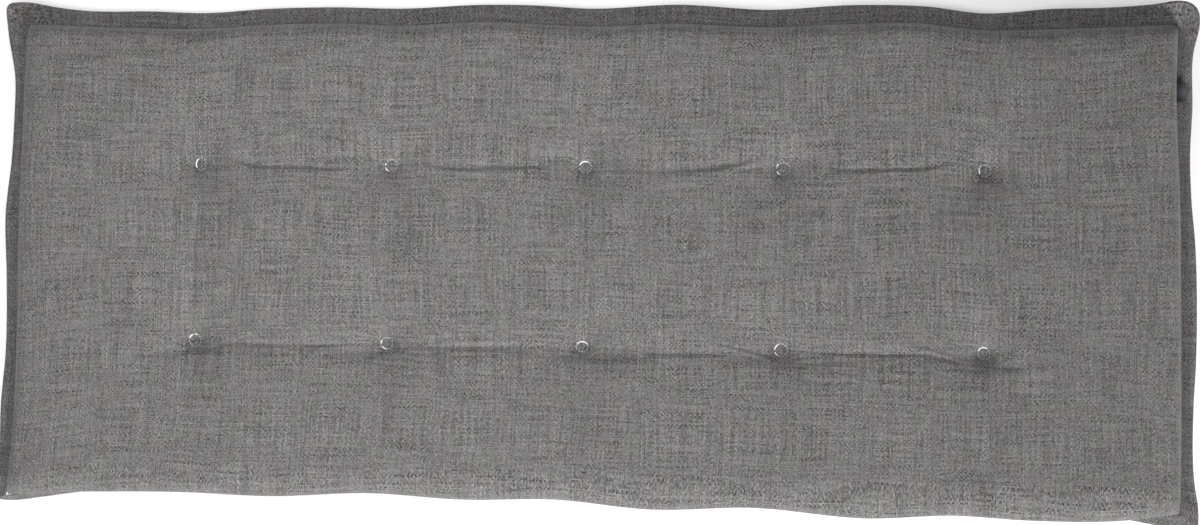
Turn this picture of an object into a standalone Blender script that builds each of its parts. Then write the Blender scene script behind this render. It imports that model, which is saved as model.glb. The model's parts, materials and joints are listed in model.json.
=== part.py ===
"""Bench cushion: a filled pad with a stitched-off border, ring tacks and a plain side tab.

Metres. X runs along the bench, +Y is the back edge, +Z is up.
The cushion lies on its back panel, with the middle of its outline over the origin.
"""
from collections import namedtuple
import math

import bmesh
import bpy
from mathutils import Vector

# Pad, measured between its stitch lines.
PAD_CENTRE_X = 0.001
PAD_CENTRE_Y = -0.002
PAD_HALF_LENGTH = 0.531
PAD_HALF_WIDTH = 0.216
SEAM_HEIGHT = 0.024
FACE_HEIGHT = 0.049
CROWN_RISE = 0.004
SIDE_DEPTH = 0.030
SIDE_FULLNESS = 2.3
FRONT_BULGE = 0.0130

# Tacks: rings of thread sewn through the whole pad.
TACK_RADIUS = 0.0052
TACK_THREAD_RADIUS = 0.0007
TACK_RING_STEPS = 20
TACK_THREAD_STEPS = 5
TUFT_FLOOR = 0.0115
TUFT_SPREAD = 0.024
FACE_TUFT_DEPTH = 0.014
BACK_TUFT_DEPTH = 0.007
CREASE_SPREAD = 0.013
CREASE_FADE = 0.045
PULL_SPREAD = 0.050

# Border: both panels' edges, turned in, pressed and stitched off.
BORDER_WIDTH = 0.018
BORDER_THICKNESS = 0.003
BORDER_EDGE_THICKNESS = 0.0018
CORNER_REACH = 0.92

# Tab: a short loop of tape caught in the right-hand stitch line.
TAB_WIDTH = 0.019
TAB_REACH = 0.011
TAB_THICKNESS = 0.0012
TAB_CENTRE_Y = 0.1525
TAB_INSET = 0.0012

GAP = 0.0003

# crease: depth of the fold along the column or row; pull: how far it draws the back edge in.
Column = namedtuple("Column", "name x crease pull")
COLUMNS = [
    Column("a", -0.36, 0.0035, 0.0060),
    Column("b", -0.18, 0.0035, 0.0035),
    Column("c", 0.00, 0.0030, 0.0035),
    Column("d", 0.18, 0.0015, 0.0035),
    Column("e", 0.36, 0.0015, 0.0060),
]
Row = namedtuple("Row", "name y crease")
ROWS = [
    Row("back", 0.082, 0.0015),
    Row("front", -0.082, 0.0030),
]

# lean: tilt of the border up (+) or down (-) in degrees; reach: share of its full width.
Station = namedtuple("Station", "place lean reach")
LEFT_BORDER = [
    Station(-0.216, -30, 0.70),
    Station(-0.150, -8, 0.95),
    Station(-0.040, 4, 0.95),
    Station(0.030, 6, 1.10),
    Station(0.110, -6, 0.88),
    Station(0.170, 8, 0.92),
    Station(0.214, 20, 1.25),
]
RIGHT_BORDER = [
    Station(-0.216, -20, 0.95),
    Station(-0.130, 4, 0.88),
    Station(-0.040, 8, 1.00),
    Station(0.060, -6, 0.82),
    Station(0.130, -6, 0.80),
    Station(0.187, -6, 0.88),
    Station(0.214, 18, 1.10),
]
BACK_BORDER = [
    Station(-0.530, 20, 1.10),
    Station(-0.420, 4, 1.05),
    Station(-0.270, 10, 0.95),
    Station(-0.090, 2, 1.00),
    Station(0.090, 10, 1.00),
    Station(0.270, 4, 1.00),
    Station(0.440, 12, 1.00),
    Station(0.532, 22, 1.20),
]
FRONT_BORDER = [
    Station(-0.530, -30, 1.00),
    Station(-0.470, -64, 1.00),
    Station(-0.250, -68, 1.00),
    Station(0.000, -66, 1.00),
    Station(0.250, -68, 1.00),
    Station(0.480, -62, 1.00),
    Station(0.532, -22, 0.85),
]


def clear_scene():
    for item in list(bpy.data.objects):
        bpy.data.objects.remove(item, do_unlink=True)


def fabric(name, colour, roughness):
    """A plain cloth or thread finish."""
    material = bpy.data.materials.new(name)
    material.use_nodes = True
    shader = material.node_tree.nodes["Principled BSDF"]
    shader.inputs["Base Color"].default_value = (*colour, 1.0)
    shader.inputs["Roughness"].default_value = roughness
    shader.inputs["Metallic"].default_value = 0.0
    return material


def add_object(name, bm, material):
    """Close the mesh, turn its faces outwards and put it in the scene."""
    bmesh.ops.recalc_face_normals(bm, faces=bm.faces)
    if bm.calc_volume(signed=True) < 0:
        bmesh.ops.reverse_faces(bm, faces=bm.faces)
    mesh = bpy.data.meshes.new(name)
    bm.to_mesh(mesh)
    bm.free()
    mesh.materials.append(material)
    mesh.shade_smooth()
    mesh.set_sharp_from_angle(angle=math.radians(50))
    item = bpy.data.objects.new(name, mesh)
    bpy.context.scene.collection.objects.link(item)
    return item


def smooth_step(value):
    value = min(max(value, 0.0), 1.0)
    return value * value * (3 - 2 * value)


def bump(distance, spread):
    """A soft hill, 1 at the middle."""
    return math.exp(-(distance / spread) ** 2)


# ---- pad ---------------------------------------------------------------------------------

def grid_lines(half, centres):
    """Flat places of the panel's grid lines: close at the sides and around each tack."""
    side = [half - SIDE_DEPTH * share for share in (0, 0.06, 0.2, 0.42, 0.7, 1.0)]
    lines = side + [-place for place in side]
    for centre in centres:
        lines += [centre + step for step in (-0.050, -0.022, -0.008, 0, 0.008, 0.022, 0.050)]
    return sorted(lines)


def side_share(place, half):
    """0 on the stitch line, 1 where the face is no longer rounded."""
    return min(max((half - abs(place)) / SIDE_DEPTH, 0.0), 1.0)


def side_rise(share):
    """Quarter round of the side wall: height share over the stitch line."""
    return (1 - (1 - share) ** SIDE_FULLNESS) ** (1 / SIDE_FULLNESS)


def tuft(x, y):
    """1 on the flat floor around a tack, fading to 0 on the open face."""
    return max(
        math.exp(-max(math.hypot(x - column.x, y - row.y) - TUFT_FLOOR, 0) / TUFT_SPREAD)
        for column in COLUMNS
        for row in ROWS
    )


def crease(x, y):
    """Depth of the soft folds that join the tacks."""
    beyond_rows = max(abs(y) - ROWS[0].y, 0)
    beyond_columns = max(abs(x) - COLUMNS[-1].x, 0)
    along_columns = sum(column.crease * bump(x - column.x, CREASE_SPREAD) for column in COLUMNS)
    along_rows = sum(row.crease * bump(y - row.y, CREASE_SPREAD) for row in ROWS)
    return max(
        along_columns * bump(beyond_rows, CREASE_FADE),
        along_rows * bump(beyond_columns, CREASE_FADE),
    )


def back_edge_pull(x):
    """How far the tacks draw the back edge in at this place."""
    return sum(column.pull * bump(x - column.x, PULL_SPREAD) for column in COLUMNS)


def pull_in(x, y):
    """Move a point of the flat outline with the drawn-in back edge."""
    weight = smooth_step((y - ROWS[0].y) / (PAD_HALF_WIDTH - ROWS[0].y))
    return y - back_edge_pull(x) * weight


def pad_point(x, y, face):
    """A point of the face or back panel from its flat place (x, y)."""
    share_x = side_share(x, PAD_HALF_LENGTH)
    share_y = side_share(y, PAD_HALF_WIDTH)
    rise = side_rise(share_x) * side_rise(share_y)
    if face:
        crown = CROWN_RISE * (1 - (x / PAD_HALF_LENGTH) ** 2 * (y / PAD_HALF_WIDTH) ** 2)
        dip = FACE_TUFT_DEPTH * tuft(x, y) + crease(x, y) * (1 - tuft(x, y))
        height = FACE_HEIGHT + crown - dip
    else:
        height = BACK_TUFT_DEPTH * back_tuft(x, y)
    z = SEAM_HEIGHT + (height - SEAM_HEIGHT) * rise
    bulge = 0
    if face and y < 0:
        bulge = FRONT_BULGE * math.sin(math.pi * share_y ** 0.6) * side_rise(share_x)
    return Vector((PAD_CENTRE_X + x, PAD_CENTRE_Y + pull_in(x, y) - bulge, z))


def back_tuft(x, y):
    """The back panel's shallow dimple around a tack, 0 where the pad touches the floor."""
    nearest = min(
        math.hypot(x - column.x, y - row.y)
        for column in COLUMNS
        for row in ROWS
    )
    return smooth_step(1 - (nearest - TUFT_FLOOR) / (2 * TUFT_SPREAD - TUFT_FLOOR))


def add_panel(bm, lines_x, lines_y, face):
    """One panel as a grid of quads from its flat lines."""
    rows = [[bm.verts.new(pad_point(x, y, face)) for x in lines_x] for y in lines_y]
    for lower, upper in zip(rows, rows[1:]):
        for i in range(len(lines_x) - 1):
            bm.faces.new((lower[i], lower[i + 1], upper[i + 1], upper[i]))


def make_pad(material):
    """Face and back panel, sewn together along the stitch line and filled."""
    lines_x = grid_lines(PAD_HALF_LENGTH, [column.x for column in COLUMNS])
    lines_y = grid_lines(PAD_HALF_WIDTH, [row.y for row in ROWS])
    bm = bmesh.new()
    add_panel(bm, lines_x, lines_y, face=True)
    add_panel(bm, lines_x, lines_y, face=False)
    bmesh.ops.remove_doubles(bm, verts=bm.verts, dist=0.00001)
    return add_object("pad", bm, material)


# ---- border ------------------------------------------------------------------------------

def read_stations(stations, place):
    """Lean and reach of the border between two stations, eased from one to the next."""
    if place <= stations[0].place:
        return stations[0].lean, stations[0].reach
    for before, after in zip(stations, stations[1:]):
        if place <= after.place:
            share = smooth_step((place - before.place) / (after.place - before.place))
            lean = before.lean + (after.lean - before.lean) * share
            reach = before.reach + (after.reach - before.reach) * share
            return lean, reach
    return stations[-1].lean, stations[-1].reach


def border_stations():
    """Flat place, outward direction and station table of each cut, around the pad."""
    lines_x = grid_lines(PAD_HALF_LENGTH, [column.x for column in COLUMNS])
    lines_y = grid_lines(PAD_HALF_WIDTH, [row.y for row in ROWS])
    low_x, high_x = lines_x[0], lines_x[-1]
    low_y, high_y = lines_y[0], lines_y[-1]
    cuts = [(x, low_y, 0, -1, FRONT_BORDER, x) for x in lines_x[1:-1]]
    cuts += [(high_x, low_y, 1, -1, FRONT_BORDER, high_x)]
    cuts += [(high_x, y, 1, 0, RIGHT_BORDER, y) for y in lines_y[1:-1]]
    cuts += [(high_x, high_y, 1, 1, BACK_BORDER, high_x)]
    cuts += [(x, high_y, 0, 1, BACK_BORDER, x) for x in reversed(lines_x[1:-1])]
    cuts += [(low_x, high_y, -1, 1, BACK_BORDER, low_x)]
    cuts += [(low_x, y, -1, 0, LEFT_BORDER, y) for y in reversed(lines_y[1:-1])]
    cuts += [(low_x, low_y, -1, -1, FRONT_BORDER, low_x)]
    return cuts


def border_section(x, y, out_x, out_y, stations, place):
    """Six points around the border's cloth at one cut: upper side in to out, then lower side back."""
    lean, reach = read_stations(stations, place)
    angle = math.radians(lean)
    corner = out_x != 0 and out_y != 0
    width = BORDER_WIDTH * reach * (CORNER_REACH if corner else 1.0)
    out = Vector((out_x, out_y, 0))
    along = out * math.cos(angle) + Vector((0, 0, math.sin(angle)))
    across = out * -math.sin(angle) + Vector((0, 0, math.cos(angle)))
    inner = across * BORDER_THICKNESS / 2
    clearance = GAP + BORDER_THICKNESS / 2 * abs(math.sin(angle))
    seam = pad_point(x, y, face=True) + out * clearance
    outer = across * BORDER_EDGE_THICKNESS / 2
    middle = seam + along * width * 0.55
    edge = seam + along * width
    return [seam + inner, middle + inner, edge + outer, edge - outer, middle - inner, seam - inner]


def make_border(material):
    """The doubled cloth all round the pad, joined cut by cut into one ring."""
    bm = bmesh.new()
    sections = [[bm.verts.new(p) for p in border_section(*cut)] for cut in border_stations()]
    for here, there in zip(sections, sections[1:] + sections[:1]):
        for i in range(len(here)):
            after = (i + 1) % len(here)
            bm.faces.new((here[i], here[after], there[after], there[i]))
    return add_object("border", bm, material)


# ---- tacks and tab -----------------------------------------------------------------------

def make_tack(column, row, material):
    """One ring of thread lying on the floor of its tuft."""
    bm = bmesh.new()
    floor = pad_point(column.x, row.y, face=True)
    start = floor + Vector((TACK_RADIUS, 0, GAP + TACK_THREAD_RADIUS))
    section = []
    for i in range(TACK_THREAD_STEPS):
        angle = 2 * math.pi * i / TACK_THREAD_STEPS
        offset = Vector((math.cos(angle), 0, math.sin(angle))) * TACK_THREAD_RADIUS
        section.append(bm.verts.new(start + offset))
    edges = [bm.edges.new((a, b)) for a, b in zip(section, section[1:] + section[:1])]
    bmesh.ops.spin(
        bm,
        geom=section + edges,
        cent=floor,
        axis=(0, 0, 1),
        angle=2 * math.pi,
        steps=TACK_RING_STEPS,
        use_merge=True,
    )
    return add_object(f"tack_{row.name}_{column.name}", bm, material)


def make_tab(material):
    """A folded piece of tape that lies on the right-hand border, its fold outwards."""
    lean, _ = read_stations(RIGHT_BORDER, TAB_CENTRE_Y - PAD_CENTRE_Y)
    angle = math.radians(lean)
    along = Vector((math.cos(angle), 0, math.sin(angle)))
    across = Vector((-math.sin(angle), 0, math.cos(angle)))
    seam = pad_point(PAD_HALF_LENGTH, TAB_CENTRE_Y - PAD_CENTRE_Y, face=True)
    foot = seam + along * TAB_INSET + across * (BORDER_THICKNESS / 2 + GAP)
    half = TAB_THICKNESS / 2
    profile = [(0, 0), (TAB_REACH - half, 0), (TAB_REACH, half)]
    profile += [(TAB_REACH - half, TAB_THICKNESS), (0, TAB_THICKNESS)]
    bm = bmesh.new()
    side = Vector((0, TAB_WIDTH / 2, 0))
    verts = [bm.verts.new(foot - side + along * u + across * v) for u, v in profile]
    face = bm.faces.new(verts)
    pushed = bmesh.ops.extrude_face_region(bm, geom=[face])
    moved = [item for item in pushed["geom"] if isinstance(item, bmesh.types.BMVert)]
    bmesh.ops.translate(bm, verts=moved, vec=side * 2)
    return add_object("side_tab", bm, material)


clear_scene()
cloth = fabric("woven_cloth", (0.16, 0.155, 0.15), 0.95)
thread = fabric("pale_thread", (0.50, 0.50, 0.50), 0.8)
tape = fabric("dark_tape", (0.035, 0.037, 0.042), 0.7)
make_pad(cloth)
make_border(cloth)
for tack_row in ROWS:
    for tack_column in COLUMNS:
        make_tack(tack_column, tack_row, thread)
make_tab(tape)
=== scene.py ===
import json
import math
import random

import bmesh
import bpy
import numpy as np
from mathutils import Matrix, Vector, noise
from mathutils.bvhtree import BVHTree

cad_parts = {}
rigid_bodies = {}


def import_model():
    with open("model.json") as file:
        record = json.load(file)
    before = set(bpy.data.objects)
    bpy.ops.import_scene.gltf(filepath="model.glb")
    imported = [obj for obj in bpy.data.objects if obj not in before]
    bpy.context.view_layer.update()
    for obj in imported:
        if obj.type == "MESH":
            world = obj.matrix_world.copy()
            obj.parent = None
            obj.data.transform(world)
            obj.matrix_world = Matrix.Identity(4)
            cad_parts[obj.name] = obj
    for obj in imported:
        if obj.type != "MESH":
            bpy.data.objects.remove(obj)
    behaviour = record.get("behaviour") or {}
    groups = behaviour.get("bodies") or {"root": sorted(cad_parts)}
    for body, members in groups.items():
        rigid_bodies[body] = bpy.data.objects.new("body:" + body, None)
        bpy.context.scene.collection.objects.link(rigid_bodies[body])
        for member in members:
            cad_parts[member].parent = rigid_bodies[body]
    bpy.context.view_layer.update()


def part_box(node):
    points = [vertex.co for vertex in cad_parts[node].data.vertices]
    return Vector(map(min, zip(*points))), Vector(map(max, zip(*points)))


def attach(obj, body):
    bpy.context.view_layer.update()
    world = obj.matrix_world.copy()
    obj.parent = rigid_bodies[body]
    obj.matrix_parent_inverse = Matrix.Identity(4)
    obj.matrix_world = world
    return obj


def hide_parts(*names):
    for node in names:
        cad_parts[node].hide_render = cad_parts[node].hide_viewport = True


for item in list(bpy.data.objects):
    bpy.data.objects.remove(item, do_unlink=True)

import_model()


# ---- Camera ------------------------------------------------------------------------------
# A normal lens about 1.7 m above the cushion, a little towards its front edge and its
# right-hand end, and looking almost straight down on the tufted face.
camera_data = bpy.data.cameras.new("camera")
camera_data.lens = 54
camera_data.sensor_width = 36
camera = bpy.data.objects.new("camera", camera_data)
camera.location = (0.1588, -0.1123, 1.6673)
camera.rotation_euler = [math.radians(angle) for angle in (3.77, 4.938, 1.068)]
bpy.context.scene.collection.objects.link(camera)
bpy.context.scene.camera = camera


# ---- Pad ---------------------------------------------------------------------------------
# Face and back panel of one melange cloth, sewn together along a stitch line round a soft
# filling. Ten tacks draw the face down into tufts, and soft folds run from tack to tack.
SEAM_HEIGHT = 0.024
FACE_HEIGHT = 0.0492
CROWN = 0.0035
SIDE_DEPTH = 0.019
SIDE_FULLNESS = 2.6
FLAT_HALF_X, FLAT_HALF_Y = 0.546, 0.232

# Where the stitch line runs, side by side, and how far the filling bulges out over it.
BACK_SEAM = [
    # x, stitch y, bulge
    (-0.532, 0.2140, 0.000),
    (-0.485, 0.2110, 0.001),
    (-0.425, 0.2090, 0.001),
    (-0.364, 0.2085, 0.001),
    (-0.300, 0.2120, 0.001),
    (-0.235, 0.2135, 0.001),
    (-0.175, 0.2115, 0.001),
    (-0.095, 0.2150, 0.001),
    (0.000, 0.2110, 0.001),
    (0.085, 0.2135, 0.001),
    (0.165, 0.2105, 0.001),
    (0.240, 0.2135, 0.001),
    (0.300, 0.2145, 0.001),
    (0.357, 0.2085, 0.001),
    (0.440, 0.2100, 0.001),
    (0.534, 0.2155, 0.000),
]
FRONT_SEAM = [
    # x, stitch y, bulge
    (-0.541, -0.2320, 0.000),
    (-0.515, -0.2290, 0.002),
    (-0.480, -0.2230, 0.004),
    (-0.440, -0.2185, 0.006),
    (-0.369, -0.2170, 0.006),
    (-0.275, -0.2170, 0.007),
    (-0.190, -0.2155, 0.005),
    (-0.100, -0.2160, 0.007),
    (-0.021, -0.2155, 0.006),
    (0.070, -0.2175, 0.009),
    (0.159, -0.2170, 0.007),
    (0.260, -0.2190, 0.010),
    (0.337, -0.2180, 0.008),
    (0.400, -0.2190, 0.009),
    (0.480, -0.2190, 0.008),
    (0.534, -0.2240, 0.000),
]
LEFT_SEAM = [
    # y, stitch x, bulge
    (-0.232, -0.541, 0.000),
    (-0.205, -0.535, 0.001),
    (-0.160, -0.530, 0.002),
    (-0.060, -0.529, 0.002),
    (0.040, -0.531, 0.002),
    (0.130, -0.531, 0.002),
    (0.214, -0.532, 0.001),
]
RIGHT_SEAM = [
    # y, stitch x, bulge
    (-0.224, 0.534, 0.000),
    (-0.150, 0.532, 0.002),
    (-0.050, 0.532, 0.002),
    (0.060, 0.531, 0.002),
    (0.150, 0.530, 0.001),
    (0.2155, 0.534, 0.000),
]


def flowing(rows, column, at):
    """One column of a table of places along an edge, carried smoothly from row to row."""
    places = np.array([row[0] for row in rows])
    values = np.array([row[column] for row in rows])
    slopes = np.gradient(values, places)
    index = np.clip(np.searchsorted(places, at) - 1, 0, len(places) - 2)
    span = places[index + 1] - places[index]
    share = np.clip((at - places[index]) / span, 0, 1)
    start = values[index] * (1 + 2 * share) + slopes[index] * span * share
    end = values[index + 1] * (3 - 2 * share) + slopes[index + 1] * span * (share - 1)
    return start * (1 - share) ** 2 + end * share ** 2


def smooth_step(value):
    value = np.clip(value, 0.0, 1.0)
    return value * value * (3 - 2 * value)


def cloud(x, y, size, seed):
    """Soft uneven noise from about -1 to 1, the same every run."""
    return np.array([noise.noise(Vector((a / size, b / size, seed))) for a, b in zip(x, y)])


# Arc length, inset and rise of a side wall from the stitch line up to the level face.
wall_turn = np.linspace(0, math.pi / 2, 200)
WALL_INSET = SIDE_DEPTH * (1 - np.cos(wall_turn) ** (2 / SIDE_FULLNESS))
WALL_RISE = np.sin(wall_turn) ** (2 / SIDE_FULLNESS)
wall_steps = np.hypot(np.diff(WALL_INSET), np.diff(WALL_RISE) * (FACE_HEIGHT - SEAM_HEIGHT))
WALL_ARC = np.concatenate([[0], np.cumsum(wall_steps)])


def across_panel(flat, flat_half, low, high):
    """Place, rise and share of the wall for a flat place across a panel between two seams."""
    from_seam = flat_half - np.abs(flat)
    inset = np.interp(from_seam, WALL_ARC, WALL_INSET)
    rise = np.interp(from_seam, WALL_ARC, WALL_RISE)
    share = np.clip(from_seam / WALL_ARC[-1], 0, 1)
    half, middle = (high - low) / 2, (high + low) / 2
    level = (half - SIDE_DEPTH) * np.abs(flat) / (flat_half - WALL_ARC[-1])
    reach = np.where(from_seam < WALL_ARC[-1], half - inset, level)
    return middle + np.sign(flat) * reach, rise, share


COLUMNS = [sum(corner[0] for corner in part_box(f"tack_back_{name}")) / 2 for name in "abcde"]
BACK_ROW, FRONT_ROW = [
    sum(corner[1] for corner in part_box(f"tack_{row}_c")) / 2 for row in ("back", "front")
]

# Folds along each column of tacks.
COLUMN_FOLDS = [
    # depth, how far it runs on behind the back row and before the front row
    (0.0052, 0.030, 0.060),
    (0.0056, 0.080, 0.060),
    (0.0052, 0.085, 0.050),
    (0.0034, 0.020, 0.020),
    (0.0020, 0.012, 0.012),
]
# Folds along each row, from one column to the next.
ROW_FOLDS = {
    BACK_ROW: [
        # depth, sag towards the front edge
        (0.0012, 0.002),
        (0.0011, 0.001),
        (0.0008, 0.000),
        (0.0004, 0.000),
    ],
    FRONT_ROW: [
        (0.0032, 0.004),
        (0.0028, 0.003),
        (0.0032, 0.005),
        (0.0030, 0.003),
    ],
}
FOLD_WIDTH = 0.014
TUFT_DEPTH = 0.0160
RING_RADIUS = 0.0052


def valley(across, width):
    """Cross-section of a soft fold: narrow and round at the bottom, with wide banks."""
    return np.exp(-(np.sqrt(across ** 2 + 0.0012 ** 2) - 0.0012) / width)


def folds(x, y):
    """How deep the folds between the tacks lie."""
    deepest = np.zeros_like(x)
    for centre, (depth, behind, before) in zip(COLUMNS, COLUMN_FOLDS):
        beyond = np.where(y > BACK_ROW, (y - BACK_ROW) / behind, 0)
        beyond = np.where(y < FRONT_ROW, (FRONT_ROW - y) / before, beyond)
        wander = 0.0012 * np.sin(y * 31 + centre * 40)
        line = depth * valley(x - centre - wander, FOLD_WIDTH) * np.exp(-beyond ** 2)
        deepest = np.maximum(deepest, line)
    for row, spans in ROW_FOLDS.items():
        for start, end, (depth, sag) in zip(COLUMNS, COLUMNS[1:], spans):
            share = (x - start) / (end - start)
            outside = np.maximum(np.abs(share - 0.5) - 0.5, 0) / 0.12
            middle = row - sag * np.sin(math.pi * np.clip(share, 0, 1))
            line = depth * valley(y - middle, FOLD_WIDTH) * np.exp(-outside ** 2)
            deepest = np.maximum(deepest, line)
    return deepest


def from_tacks(x, y):
    """Distance to the nearest tack."""
    nearest = np.full_like(x, 1.0)
    for row in (BACK_ROW, FRONT_ROW):
        for column in COLUMNS:
            nearest = np.minimum(nearest, np.hypot(x - column, y - row))
    return nearest


def face_height(x, y):
    """Height of the crowned face with its tufts, folds and small unevenness."""
    crown = CROWN * (1 - (x / 0.53) ** 2 * (y / 0.216) ** 2)
    away = from_tacks(x, y)
    funnel = np.exp(-np.maximum(away - RING_RADIUS, 0) / 0.0095)
    dish = np.exp(-(away / 0.036) ** 1.4)
    tuft = 0.60 * funnel + 0.40 * dish
    groove = np.exp(-((away - RING_RADIUS) / 0.0015) ** 2)
    puff = np.exp(-(away / 0.0034) ** 2)
    uneven = 0.0009 * cloud(x, y, 0.11, 3.1) + 0.0005 * cloud(x, y, 0.045, 8.4)
    dip = TUFT_DEPTH * tuft + folds(x, y) * (1 - tuft)
    return FACE_HEIGHT + crown - dip - 0.0008 * groove + 0.0009 * puff + uneven


def pad_points(flat_x, flat_y, face):
    """The pad's surface from flat places on its face panel or its back panel."""
    x = across_panel(flat_x, FLAT_HALF_X, -0.531, 0.533)[0]
    y = across_panel(flat_y, FLAT_HALF_Y, -0.218, 0.212)[0]
    seams = {
        "left": (flowing(LEFT_SEAM, 1, y), flowing(LEFT_SEAM, 2, y)),
        "right": (flowing(RIGHT_SEAM, 1, y), flowing(RIGHT_SEAM, 2, y)),
        "front": (flowing(FRONT_SEAM, 1, x), flowing(FRONT_SEAM, 2, x)),
        "back": (flowing(BACK_SEAM, 1, x), flowing(BACK_SEAM, 2, x)),
    }
    x, rise_x, share_x = across_panel(flat_x, FLAT_HALF_X, seams["left"][0], seams["right"][0])
    y, rise_y, share_y = across_panel(flat_y, FLAT_HALF_Y, seams["front"][0], seams["back"][0])
    if face:
        height = face_height(x, y)
        bulge_x = np.where(flat_x < 0, -seams["left"][1], seams["right"][1])
        bulge_y = np.where(flat_y < 0, -seams["front"][1], seams["back"][1])
        x = x + bulge_x * np.sin(math.pi * share_x ** 0.75) * rise_y * 1.6
        y = y + bulge_y * np.sin(math.pi * share_y ** 0.75) * rise_x * 1.6
    else:
        height = 0.007 * smooth_step(1 - (from_tacks(x, y) - 0.0115) / 0.0365)
    z = SEAM_HEIGHT + (height - SEAM_HEIGHT) * rise_x * rise_y
    return np.stack([x, y, z], axis=1)


def graded(half, centres, count):
    """Places of the mesh lines over a panel, closer on the walls and around the tacks."""
    fine = np.linspace(-half, half, 20001)
    density = 1 + 1.6 * np.exp(-(half - np.abs(fine)) / 0.016)
    for centre in centres:
        density += 2.6 * np.exp(-((fine - centre) / 0.0105) ** 4)
    share = np.concatenate([[0], np.cumsum(density[:-1])])
    return np.interp(np.linspace(0, share[-1], count + 1), share, fine)


def pad_mesh(name, count_x, count_y):
    """Face and back panel as two grids welded along the stitch line, flat places in a UV map."""
    lines_x = graded(FLAT_HALF_X, COLUMNS, count_x)
    lines_y = graded(FLAT_HALF_Y, (BACK_ROW, FRONT_ROW), count_y)
    bm = bmesh.new()
    for level in (1, -1):
        made = bmesh.ops.create_grid(bm, x_segments=count_x, y_segments=count_y, size=0.5)
        bmesh.ops.translate(bm, verts=made["verts"], vec=(0, 0, level))
        if level < 0:
            beneath = [face for face in bm.faces if face.calc_center_median().z < 0]
            bmesh.ops.reverse_faces(bm, faces=beneath)
    mesh = bpy.data.meshes.new(name)
    bm.to_mesh(mesh)
    bm.free()
    co = np.zeros(len(mesh.vertices) * 3, np.float32)
    mesh.vertices.foreach_get("co", co)
    co = co.reshape(-1, 3).astype(float)
    flat_x = lines_x[np.rint((co[:, 0] + 0.5) * count_x).astype(int)]
    flat_y = lines_y[np.rint((co[:, 1] + 0.5) * count_y).astype(int)]
    on_face = co[:, 2] > 0
    points = np.zeros_like(co)
    for face in (True, False):
        pick = on_face == face
        points[pick] = pad_points(flat_x[pick], flat_y[pick], face)
    loops = np.zeros(len(mesh.loops), np.int32)
    mesh.loops.foreach_get("vertex_index", loops)
    layer = mesh.uv_layers.new(name="cloth")
    flat = np.stack([flat_x, flat_y + np.where(on_face, 0.0, 0.6)], axis=1)[loops]
    layer.data.foreach_set("uv", flat.astype(np.float32).ravel())
    mesh.vertices.foreach_set("co", points.astype(np.float32).ravel())
    bm = bmesh.new()
    bm.from_mesh(mesh)
    bmesh.ops.remove_doubles(bm, verts=bm.verts, dist=0.00002)
    bm.to_mesh(mesh)
    bm.free()
    mesh.shade_smooth()
    return mesh


def show(name, mesh):
    piece = bpy.data.objects.new(name, mesh)
    bpy.context.scene.collection.objects.link(piece)
    return piece


def node_tools(material):
    """Short ways to add and join the nodes of a material."""
    tree = material.node_tree

    def add(kind, settings=None, **inputs):
        node = tree.nodes.new(kind)
        for name, value in (settings or {}).items():
            setattr(node, name, value)
        for name, value in inputs.items():
            socket = node.inputs[int(name[1:]) if name[1:].isdigit() else name]
            if isinstance(value, bpy.types.NodeSocket):
                tree.links.new(value, socket)
            else:
                socket.default_value = value
        return node

    def calc(operation, a, b=0.0, c=0.0):
        return add("ShaderNodeMath", {"operation": operation}, i0=a, i1=b, i2=c).outputs[0]

    return add, calc


def multiply(add, first, second):
    """One colour multiplied by another."""
    settings = {"data_type": "RGBA", "blend_type": "MULTIPLY"}
    return add("ShaderNodeMix", settings, i0=1.0, i6=first, i7=second).outputs[2]


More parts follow.
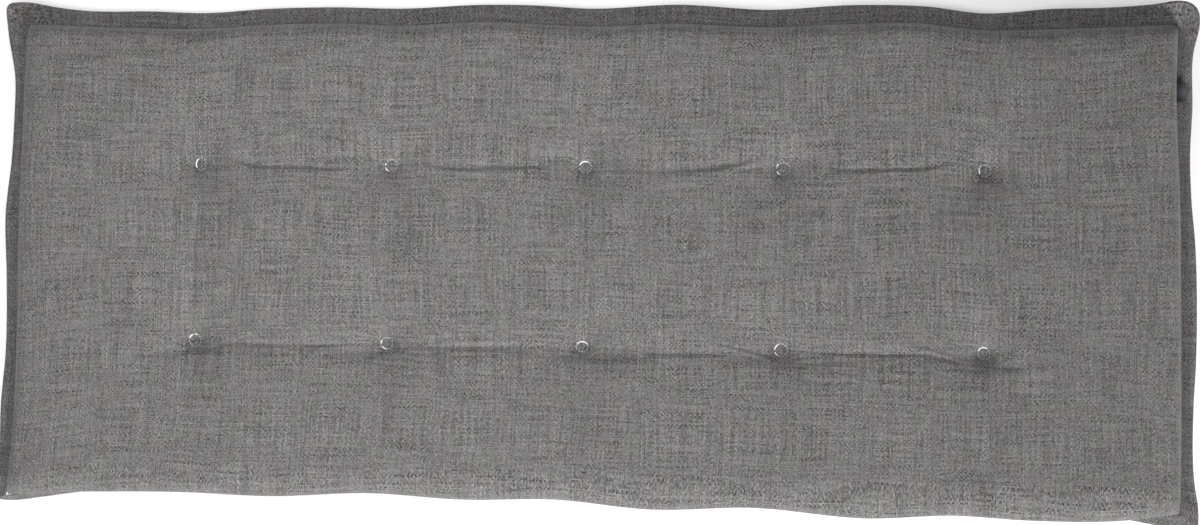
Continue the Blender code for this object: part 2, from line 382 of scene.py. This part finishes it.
def melange_cloth(name, pitch, tone, seed):
    """Twill and plain weave in broken patches, of yarns that each have their own shade, with painted shade in
    the gaps between the yarns.
    """
    material = bpy.data.materials.new(name)
    material.use_nodes = True
    add, calc = node_tools(material)
    link = material.node_tree.links.new
    shader = material.node_tree.nodes["Principled BSDF"]

    def flat_noise(vector, scale, detail=1.0):
        settings = {"noise_dimensions": "2D"}
        return add("ShaderNodeTexNoise", settings, Vector=vector, Scale=scale, Detail=detail)

    def streaks(across, along, stretch):
        """Noise drawn out along one yarn."""
        place = add(
            "ShaderNodeCombineXYZ",
            X=calc("MULTIPLY", across, 0.731), Y=calc("MULTIPLY", along, stretch), Z=0.0,
        )
        return flat_noise(place.outputs[0], 1.0, 2.0)

    place = add("ShaderNodeUVMap", {"uv_map": "cloth"}).outputs[0]
    drift = add("ShaderNodeSeparateColor", Color=flat_noise(place, 9.0, 2.0).outputs["Color"])
    split = add("ShaderNodeSeparateXYZ", Vector=place)
    across = calc("MULTIPLY_ADD", drift.outputs[0], 0.008, calc("ADD", split.outputs[0], 5.0 + seed))
    along = calc("MULTIPLY_ADD", drift.outputs[1], 0.008, calc("ADD", split.outputs[1], 5.0))
    warp_at, weft_at = calc("DIVIDE", across, pitch), calc("DIVIDE", along, pitch)
    warp, weft = calc("FLOOR", warp_at), calc("FLOOR", weft_at)
    cell = add("ShaderNodeCombineXYZ", X=warp, Y=weft).outputs[0]
    speck = add("ShaderNodeTexWhiteNoise", {"noise_dimensions": "2D"}, Vector=cell).outputs[0]

    turn = calc("SIGN", calc("SUBTRACT", flat_noise(cell, 0.13).outputs[0], 0.5))
    twill = calc("LESS_THAN", calc("FLOORED_MODULO", calc("MULTIPLY_ADD", warp, turn, weft), 4.0), 2.0)
    plain = calc("FLOORED_MODULO", calc("ADD", warp, weft), 2.0)
    patch = calc("GREATER_THAN", flat_noise(cell, 0.11).outputs[0], 0.46)
    over = add("ShaderNodeMix", {"data_type": "FLOAT"}, i0=patch, i2=plain, i3=twill).outputs[0]

    warp_yarn, weft_yarn = streaks(warp, along, 16.0), streaks(weft, across, 16.0)
    yarn = add(
        "ShaderNodeMix", {"data_type": "FLOAT"},
        i0=over, i2=warp_yarn.outputs[0], i3=weft_yarn.outputs[0],
    ).outputs[0]
    bold = calc("MULTIPLY_ADD", flat_noise(place, 55.0).outputs[0], 0.9, 0.1)
    shade = calc("MULTIPLY_ADD", calc("SUBTRACT", speck, 0.5), 0.80, 1.0)
    shade = calc("MULTIPLY_ADD", calc("SUBTRACT", yarn, 0.5), 2.1, shade)
    shade = calc("MULTIPLY_ADD", calc("SUBTRACT", over, 0.5), calc("MULTIPLY", bold, -0.55), shade)
    shade = calc("MAXIMUM", shade, 0.15)

    warp_round = calc("ABSOLUTE", calc("SINE", calc("MULTIPLY", warp_at, math.pi)))
    weft_round = calc("ABSOLUTE", calc("SINE", calc("MULTIPLY", weft_at, math.pi)))
    relief = calc("MULTIPLY", calc("POWER", warp_round, 0.6), calc("POWER", weft_round, 0.6))
    # Painted shade: the colour darkens to 0.74 in the gaps between yarns and lightens to 1.09 on their
    # crossings, following the same relief that drives the bump.
    shade = calc("MULTIPLY", shade, calc("MULTIPLY_ADD", relief, 0.35, 0.74))

    grey = add("ShaderNodeCombineColor", i0=shade, i1=shade, i2=shade).outputs[0]
    hue = add(
        "ShaderNodeMix", {"data_type": "RGBA"},
        i0=0.09, i6=(0.5, 0.5, 0.5, 1.0), i7=flat_noise(place, 48.0, 2.0).outputs["Color"],
    ).outputs[2]
    tint = multiply(add, grey, (*tone, 1.0))
    colour = multiply(add, tint, hue)
    link(colour, shader.inputs["Base Color"])
    bump = add("ShaderNodeBump", Strength=0.5, Distance=0.0004, Height=relief)
    link(bump.outputs[0], shader.inputs["Normal"])
    shader.inputs["Roughness"].default_value = 0.93
    shader.inputs["Specular IOR Level"].default_value = 0.25
    shader.inputs["Sheen Weight"].default_value = 0.12
    shader.inputs["Sheen Roughness"].default_value = 0.5
    return material


SWELL_CAP = 0.0012


def swell(mesh):
    """Blow the face up a little between its tacks, as filling does, with its seam held."""
    draped = show("draping_pad", mesh)
    held = draped.vertex_groups.new(name="held")
    co = np.zeros(len(mesh.vertices) * 3, np.float32)
    mesh.vertices.foreach_get("co", co)
    before = co.reshape(-1, 3).astype(float)
    low = before[:, 2] <= SEAM_HEIGHT + 0.0002
    in_ring = (from_tacks(before[:, 0], before[:, 1]) < RING_RADIUS + 0.0028) & ~low
    held.add([int(i) for i in np.nonzero(low | in_ring)[0]], 1.0, "REPLACE")
    cloth = draped.modifiers.new("cloth", "CLOTH")
    cloth.settings.quality = 6
    cloth.settings.mass = 0.25
    cloth.settings.tension_stiffness = 12
    cloth.settings.compression_stiffness = 12
    cloth.settings.shear_stiffness = 4
    cloth.settings.bending_stiffness = 0.3
    cloth.settings.vertex_group_mass = "held"
    cloth.settings.pin_stiffness = 1.0
    cloth.settings.use_pressure = True
    cloth.settings.uniform_pressure_force = 4.0
    cloth.settings.shrink_min = 0.0
    cloth.settings.effector_weights.gravity = 0
    cloth.collision_settings.use_collision = False
    cloth.collision_settings.use_self_collision = False
    cloth.point_cache.frame_start = 1
    cloth.point_cache.frame_end = 20
    scene = bpy.context.scene
    for step in range(1, 21):
        scene.frame_set(step)
    settled = draped.evaluated_get(bpy.context.evaluated_depsgraph_get()).to_mesh()
    settled.vertices.foreach_get("co", co)
    moved = co.reshape(-1, 3).astype(float) - before
    scene.frame_set(1)
    bpy.data.objects.remove(draped, do_unlink=True)
    length = np.linalg.norm(moved, axis=1, keepdims=True)
    moved *= np.minimum(1, SWELL_CAP / np.maximum(length, 1e-9))
    mesh.vertices.foreach_set("co", (before + moved).astype(np.float32).ravel())


pad = show("pad_cloth", pad_mesh("pad_cloth", 330, 144))
swell(pad.data)
pad.data.materials.append(melange_cloth("face_cloth", 0.00098, (0.203, 0.1965, 0.1975), 0.0))
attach(pad, "root")
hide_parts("pad")


# ---- Border ------------------------------------------------------------------------------
# The edges of both panels, turned in and stitched off as a flat flange of doubled cloth.
# It has a soft rolled fold, waves a little, and stands stiffly out at the four corners.
FLANGE_WIDTH = 0.018
BACK_FOLD = [
    # x, fold y, fold height
    (-0.556, 0.2335, 0.0300),
    (-0.534, 0.2340, 0.0300),
    (-0.510, 0.2300, 0.0285),
    (-0.485, 0.2270, 0.0270),
    (-0.412, 0.2260, 0.0265),
    (-0.364, 0.2245, 0.0265),
    (-0.300, 0.2285, 0.0275),
    (-0.244, 0.2300, 0.0270),
    (-0.172, 0.2290, 0.0260),
    (-0.100, 0.2325, 0.0265),
    (-0.050, 0.2320, 0.0265),
    (0.000, 0.2290, 0.0265),
    (0.085, 0.2325, 0.0275),
    (0.165, 0.2280, 0.0265),
    (0.245, 0.2325, 0.0265),
    (0.312, 0.2310, 0.0260),
    (0.357, 0.2250, 0.0265),
    (0.424, 0.2290, 0.0275),
    (0.469, 0.2300, 0.0275),
    (0.513, 0.2330, 0.0295),
    (0.535, 0.2360, 0.0310),
    (0.550, 0.2330, 0.0310),
]
FRONT_FOLD = [
    # x, fold y, fold height
    (-0.556, -0.2360, 0.0150),
    (-0.541, -0.2370, 0.0130),
    (-0.510, -0.2330, 0.0090),
    (-0.470, -0.2270, 0.0080),
    (-0.369, -0.2245, 0.0075),
    (-0.275, -0.2255, 0.0075),
    (-0.200, -0.2225, 0.0075),
    (-0.100, -0.2245, 0.0075),
    (-0.021, -0.2230, 0.0075),
    (0.070, -0.2260, 0.0075),
    (0.159, -0.2260, 0.0075),
    (0.275, -0.2300, 0.0075),
    (0.337, -0.2280, 0.0075),
    (0.440, -0.2290, 0.0080),
    (0.490, -0.2295, 0.0110),
    (0.515, -0.2340, 0.0170),
    (0.534, -0.2380, 0.0200),
    (0.552, -0.2340, 0.0210),
]
LEFT_FOLD = [
    # y, fold x, fold height
    (-0.237, -0.5545, 0.0150),
    (-0.225, -0.5545, 0.0160),
    (-0.205, -0.5500, 0.0200),
    (-0.181, -0.5480, 0.0240),
    (-0.150, -0.5480, 0.0250),
    (-0.096, -0.5450, 0.0255),
    (-0.026, -0.5470, 0.0255),
    (0.031, -0.5500, 0.0265),
    (0.088, -0.5470, 0.0240),
    (0.131, -0.5460, 0.0245),
    (0.160, -0.5460, 0.0255),
    (0.203, -0.5530, 0.0285),
    (0.234, -0.5570, 0.0300),
]
RIGHT_FOLD = [
    # y, fold x, fold height
    (-0.237, 0.5510, 0.0210),
    (-0.221, 0.5510, 0.0220),
    (-0.195, 0.5470, 0.0240),
    (-0.131, 0.5460, 0.0255),
    (-0.091, 0.5480, 0.0265),
    (-0.037, 0.5490, 0.0265),
    (0.016, 0.5480, 0.0255),
    (0.056, 0.5450, 0.0245),
    (0.097, 0.5440, 0.0240),
    (0.138, 0.5460, 0.0245),
    (0.190, 0.5465, 0.0275),
    (0.215, 0.5515, 0.0305),
    (0.234, 0.5500, 0.0310),
]


def round_the_edge(seam, fold, axis, outward, steps):
    """Stitch points and fold points of one side, corner to corner, in steps of its length."""
    low, high = seam[0][0], seam[-1][0]
    share = np.linspace(0, 1, steps, endpoint=False)
    at = low + (high - low) * share
    stitch_across = flowing(seam, 1, at)
    near_low = np.exp(-(at - low) / 0.012)
    near_high = np.exp(-(high - at) / 0.012)
    fold_at = at + (fold[0][0] - low) * near_low + (fold[-1][0] - high) * near_high
    fold_across = flowing(fold, 1, fold_at)
    fold_height = flowing(fold, 2, fold_at)
    stitch = np.zeros((steps, 3))
    folded = np.zeros((steps, 3))
    stitch[:, axis], stitch[:, 1 - axis], stitch[:, 2] = at, stitch_across, SEAM_HEIGHT
    folded[:, axis], folded[:, 1 - axis], folded[:, 2] = fold_at, fold_across, fold_height
    if not outward:
        stitch, folded = stitch[::-1], folded[::-1]
    return stitch, folded


def smooth_loop(points, reach):
    """Round the corners of a closed line."""
    window = np.hanning(2 * reach + 1)
    window /= window.sum()
    ring = np.concatenate([points[-reach:], points, points[:reach]])
    return np.stack([np.convolve(ring[:, axis], window, "valid") for axis in range(points.shape[1])], axis=1)


sides = [
    round_the_edge(FRONT_SEAM, FRONT_FOLD, 0, True, 540),
    round_the_edge(RIGHT_SEAM, RIGHT_FOLD, 1, True, 220),
    round_the_edge(BACK_SEAM, BACK_FOLD, 0, False, 540),
    round_the_edge(LEFT_SEAM, LEFT_FOLD, 1, False, 220),
]
stitch_loop = smooth_loop(np.concatenate([side[0] for side in sides]), 1)
fold_loop = smooth_loop(np.concatenate([side[1] for side in sides]), 3)
around = len(stitch_loop)
run = np.concatenate([[0], np.cumsum(np.linalg.norm(np.diff(stitch_loop, axis=0), axis=1))])

# Section of the doubled cloth, from the stitch line out round the fold and back beneath.
FLANGE_SECTION = [
    # share of the width, height above the middle of the cloth
    (0.00, 0.0007),
    (0.08, 0.0009),
    (0.20, 0.0012),
    (0.36, 0.0014),
    (0.54, 0.0015),
    (0.72, 0.0015),
    (0.86, 0.0015),
    (0.95, 0.0011),
    (1.00, 0.0000),
    (0.95, -0.0011),
    (0.86, -0.0014),
    (0.72, -0.0014),
    (0.54, -0.0014),
    (0.36, -0.0013),
    (0.20, -0.0011),
    (0.08, -0.0009),
    (0.00, -0.0007),
]

bm = bmesh.new()
section = len(FLANGE_SECTION)
bmesh.ops.create_grid(bm, x_segments=around, y_segments=section, size=0.5)
mesh = bpy.data.meshes.new("border_cloth")
bm.to_mesh(mesh)
bm.free()
co = np.zeros(len(mesh.vertices) * 3, np.float32)
mesh.vertices.foreach_get("co", co)
co = co.reshape(-1, 3).astype(float)
step_round = np.rint((co[:, 0] + 0.5) * around).astype(int)
step_section = np.rint((co[:, 1] + 0.5) * section).astype(int)
stitch, folded = stitch_loop[step_round % around], fold_loop[step_round % around]
share = np.array([row[0] for row in FLANGE_SECTION])[step_section % section]
above = np.array([row[1] for row in FLANGE_SECTION])[step_section % section]
out = folded - stitch
length = np.linalg.norm(out, axis=1, keepdims=True)
flat_out = out[:, :2] / np.linalg.norm(out[:, :2], axis=1, keepdims=True)
lean = out[:, 2] / length[:, 0]
level = np.linalg.norm(out[:, :2], axis=1) / length[:, 0]
normal = np.stack([-lean * flat_out[:, 0], -lean * flat_out[:, 1], level], axis=1)
along_run = run[step_round % around]
ripple = cloud(along_run, share * 0.02, 0.028, 4.0) * 0.0007
ripple = ripple + cloud(along_run, share * 0.01, 0.009, 9.0) * 0.0003
sag = ripple * np.sin(math.pi * np.clip(share * 1.2, 0, 1)) ** 0.5 - 0.0012 * np.sin(math.pi * share)
points = stitch + out * share[:, None] + normal * (above + sag)[:, None]
points[:, :2] -= flat_out * 0.0004 * (share == 0)[:, None]
loops = np.zeros(len(mesh.loops), np.int32)
mesh.loops.foreach_get("vertex_index", loops)
layer = mesh.uv_layers.new(name="cloth")
closed_section = np.array(FLANGE_SECTION + FLANGE_SECTION[:1]) * (FLANGE_WIDTH, 1)
width_at = np.concatenate([[0], np.cumsum(np.hypot(*np.diff(closed_section, axis=0).T))])
run_at = np.append(run, run[-1] + 0.002)
flat = np.stack([run_at[step_round], width_at[step_section] + 2.0], axis=1)[loops]
layer.data.foreach_set("uv", flat.astype(np.float32).ravel())
mesh.vertices.foreach_set("co", points.astype(np.float32).ravel())
bm = bmesh.new()
bm.from_mesh(mesh)
bmesh.ops.remove_doubles(bm, verts=bm.verts, dist=0.00001)
bmesh.ops.recalc_face_normals(bm, faces=bm.faces)
if bm.calc_volume(signed=True) < 0:
    bmesh.ops.reverse_faces(bm, faces=bm.faces)
bm.to_mesh(mesh)
bm.free()
mesh.shade_smooth()
border = show("border_cloth", mesh)
# Painted shade: the border's tone is a little darker and cooler than the face cloth's, though it is the same
# cloth.
border.data.materials.append(melange_cloth("border_weave_painted_shade", 0.00098, (0.190, 0.184, 0.187), 1.7))
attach(border, "root")
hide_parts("border")


# ---- Tacks -------------------------------------------------------------------------------
# A ring of short machine stitches in pale thread holds each tuft, sunk in the cloth. On
# every ring one or two longer floats of the same thread lie loose on top, on the side that faces the light;
# their thread is painted about twice as light as the ring's, as a painted highlight.
def thread(bm, path, thickness, sides=8):
    """A thread along a path of points, its two ends tapering away into the cloth."""
    steps = len(path) - 1
    made = bmesh.ops.create_grid(bm, x_segments=steps, y_segments=sides, size=0.5)
    for vert in made["verts"]:
        step = round((vert.co.x + 0.5) * steps)
        turn = 2 * math.pi * (vert.co.y + 0.5)
        ahead = path[min(step + 1, steps)] - path[max(step - 1, 0)]
        aside = ahead.cross(Vector((0, 0, 1))).normalized()
        upward = aside.cross(ahead).normalized()
        share = step / steps
        girth = thickness / 2 * min(1.0, 4 * share * (1 - share) * 2.2) ** 0.5
        vert.co = path[step] + (aside * math.cos(turn) + upward * math.sin(turn)) * girth
    return made["verts"]


def thread_piece(name, paths, thickness, material):
    bm = bmesh.new()
    for path in paths:
        thread(bm, path, thickness)
    bmesh.ops.remove_doubles(bm, verts=bm.verts, dist=0.00001)
    bmesh.ops.recalc_face_normals(bm, faces=bm.faces)
    mesh = bpy.data.meshes.new(name)
    bm.to_mesh(mesh)
    bm.free()
    mesh.shade_smooth()
    piece = show(name, mesh)
    mesh.materials.append(material)
    return piece


def spun_thread(name, colour):
    """Twisted polyester thread, soft and slightly shiny."""
    material = bpy.data.materials.new(name)
    material.use_nodes = True
    add, calc = node_tools(material)
    shader = material.node_tree.nodes["Principled BSDF"]
    place = add("ShaderNodeTexCoord").outputs["Object"]
    plies = add("ShaderNodeTexWave", {"bands_direction": "DIAGONAL"}, Vector=place, Scale=900.0, Distortion=2.0)
    worn = add("ShaderNodeTexNoise", Vector=place, Scale=400.0)
    shade = calc("MULTIPLY_ADD", worn.outputs[0], 0.5, 0.75)
    # Painted shade: the colour darkens in the grooves between the plies, following the same waves that drive
    # the bump.
    shade = calc("MULTIPLY", shade, calc("MULTIPLY_ADD", plies.outputs[1], 0.25, 0.85))
    grey = add("ShaderNodeCombineColor", i0=shade, i1=shade, i2=shade).outputs[0]
    tint = multiply(add, grey, (*colour, 1.0))
    material.node_tree.links.new(tint, shader.inputs["Base Color"])
    bump = add("ShaderNodeBump", Strength=0.4, Distance=0.0001, Height=plies.outputs[1])
    material.node_tree.links.new(bump.outputs[0], shader.inputs["Normal"])
    shader.inputs["Roughness"].default_value = 0.55
    return material


pale_thread = spun_thread("pale_thread", (0.38, 0.38, 0.39))
# Painted highlight: the floats use the rings' thread coloured about twice as light, for the lit side of each
# ring.
painted_highlight_thread = spun_thread("painted_highlight_thread", (0.74, 0.74, 0.75))
surface = BVHTree.FromObject(pad, bpy.context.evaluated_depsgraph_get())


def on_cloth(x, y):
    """Height of the pad's face at a place."""
    return surface.ray_cast(Vector((x, y, 0.2)), Vector((0, 0, -1)))[0].z


TACKS = {
    # ring width and depth, stitches, then the floats: from and to degrees, push outwards, lift
    "back_a": (0.0092, 0.0114, 11, [(112, 218, 0.0000, 0.0007)]),
    "back_b": (0.0106, 0.0110, 12, [(196, 238, 0.0004, 0.0008), (160, 176, 0.0002, 0.0006)]),
    "back_c": (0.0112, 0.0106, 12, [(62, 166, 0.0000, 0.0007)]),
    "back_d": (0.0116, 0.0114, 13, [(200, 238, 0.0004, 0.0008), (136, 156, 0.0003, 0.0006)]),
    "back_e": (0.0112, 0.0104, 12, [(146, 222, -0.0008, 0.0008)]),
    "front_a": (0.0110, 0.0112, 12, [(112, 162, 0.0002, 0.0007), (72, 88, 0.0000, 0.0005)]),
    "front_b": (0.0106, 0.0108, 12, [(204, 282, -0.0004, 0.0009), (146, 182, 0.0000, 0.0006)]),
    "front_c": (0.0110, 0.0088, 11, [(22, 128, 0.0002, 0.0008), (128, 150, 0.0000, 0.0006)]),
    "front_d": (0.0112, 0.0112, 12, [(112, 182, 0.0000, 0.0006), (196, 240, 0.0002, 0.0007)]),
    "front_e": (0.0108, 0.0100, 12, [(48, 158, 0.0004, 0.0008)]),
}
for number, (name, (wide, deep, stitches, floats)) in enumerate(TACKS.items()):
    draw = random.Random(40 + number)
    low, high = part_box(f"tack_{name}")
    middle_x, middle_y = (low[0] + high[0]) / 2, (low[1] + high[1]) / 2

    def on_ring(degrees, push, lift):
        turn = math.radians(degrees)
        x = middle_x + (wide / 2 + push) * math.cos(turn)
        y = middle_y + (deep / 2 + push) * math.sin(turn)
        return Vector((x, y, on_cloth(x, y) + lift))

    paths, loose = [], []
    start = draw.uniform(0, 30)
    for stitch_number in range(stitches):
        middle = start + 360 * stitch_number / stitches + draw.uniform(-3, 3)
        if any(begin - 6 < middle % 360 < end + 6 for begin, end, push, lift in floats):
            continue
        reach = draw.uniform(0.26, 0.36) * 360 / stitches
        paths.append([
            on_ring(middle + reach * (2 * step / 6 - 1), 0.0, 0.0003 * math.sin(math.pi * step / 6) + 0.0001)
            for step in range(7)
        ])
    for begin, end, push, lift in floats:
        loose.append([
            on_ring(begin + (end - begin) * step / 14, push * math.sin(math.pi * step / 14),
                    (lift - 0.0002) * math.sin(math.pi * step / 14) ** 0.6)
            for step in range(15)
        ])
    ring = thread_piece(f"tack_thread_{name}", paths, 0.0008, pale_thread)
    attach(ring, "root")
    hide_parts(f"tack_{name}")
    float_piece = thread_piece(f"tack_float_{name}", loose, 0.0009, painted_highlight_thread)
    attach(float_piece, "root")


# ---- Side tab ----------------------------------------------------------------------------
# A short end of dark woven tape, caught in the right-hand stitch line and left plain.
TAB_WIDTH, TAB_REACH, TAB_THICKNESS = 0.0185, 0.0090, 0.0012
low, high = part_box("side_tab")
tab_middle = (low[1] + high[1]) / 2
bm = bmesh.new()
bmesh.ops.create_grid(bm, x_segments=10, y_segments=16, size=0.5)
for vert in bm.verts:
    share, along = vert.co.x + 0.5, vert.co.y
    seam = float(flowing(RIGHT_SEAM, 1, np.array([tab_middle]))[0])
    vert.co.x = seam - 0.0002 + TAB_REACH * share
    vert.co.y = tab_middle + TAB_WIDTH * along
    vert.co.z = SEAM_HEIGHT + 0.0022 + 0.0042 * math.sin(share * 1.5) + 0.0004 * math.sin(along * 9)
bmesh.ops.solidify(bm, geom=bm.faces[:], thickness=TAB_THICKNESS)
bmesh.ops.recalc_face_normals(bm, faces=bm.faces)
sharp = [edge for edge in bm.edges if edge.calc_face_angle(0) > 1]
bmesh.ops.bevel(
    bm, geom=sharp, offset=0.0004, offset_type="OFFSET",
    segments=2, profile=0.5, affect="EDGES", material=-1,
)
mesh = bpy.data.meshes.new("tab_tape")
bm.to_mesh(mesh)
bm.free()
mesh.shade_smooth()
tab = show("tab_tape", mesh)
dark_tape = bpy.data.materials.new("dark_tape")
dark_tape.use_nodes = True
add, calc = node_tools(dark_tape)
place = add("ShaderNodeTexCoord").outputs["Object"]
ribs = add("ShaderNodeTexWave", {"bands_direction": "Y"}, Vector=place, Scale=300.0, Distortion=1.0)
# Painted shade: the colour darkens between the ribs, following the same waves that drive the bump.
shade = calc("MULTIPLY_ADD", ribs.outputs[1], 0.4, 0.8)
grey = add("ShaderNodeCombineColor", i0=shade, i1=shade, i2=shade).outputs[0]
tint = multiply(add, grey, (0.035, 0.037, 0.043, 1.0))
shader = dark_tape.node_tree.nodes["Principled BSDF"]
dark_tape.node_tree.links.new(tint, shader.inputs["Base Color"])
bump = add("ShaderNodeBump", Strength=0.4, Distance=0.0002, Height=ribs.outputs[1])
dark_tape.node_tree.links.new(bump.outputs[0], shader.inputs["Normal"])
shader.inputs["Roughness"].default_value = 0.8
mesh.materials.append(dark_tape)
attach(tab, "root")
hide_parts("side_tab")


# ---- Light and floor ---------------------------------------------------------------------
# A pale even surface under a broad soft light from the front right, with a bright room.
bm = bmesh.new()
bmesh.ops.create_grid(bm, x_segments=1, y_segments=1, size=6.0)
mesh = bpy.data.meshes.new("floor")
bm.to_mesh(mesh)
bm.free()
floor = show("floor", mesh)
floor_paint = bpy.data.materials.new("pale_floor")
floor_paint.use_nodes = True
shader = floor_paint.node_tree.nodes["Principled BSDF"]
shader.inputs["Base Color"].default_value = (0.93, 0.93, 0.93, 1)
shader.inputs["Roughness"].default_value = 0.9
mesh.materials.append(floor_paint)


def soft_light(name, place, aim, width, power, colour):
    data = bpy.data.lights.new(name, "AREA")
    data.shape = "DISK"
    data.size = width
    data.energy = power
    data.color = colour
    light = bpy.data.objects.new(name, data)
    light.location = place
    light.rotation_euler = (Vector(aim) - Vector(place)).to_track_quat("-Z", "Y").to_euler()
    bpy.context.scene.collection.objects.link(light)


soft_light("key", (1.0, -2.6, 1.45), (-0.1, 0.0, 0.0), 1.0, 165, (1.0, 0.99, 0.97))
soft_light("top", (-0.22, 0.04, 1.05), (-0.22, 0.04, 0.0), 0.5, 12, (1.0, 0.99, 0.98))
world = bpy.data.worlds.new("room")
world.use_nodes = True
world.node_tree.nodes["Background"].inputs["Color"].default_value = (1, 1, 1, 1)
world.node_tree.nodes["Background"].inputs["Strength"].default_value = 0.35
bpy.context.scene.world = world
bpy.context.scene.view_settings.view_transform = "Standard"
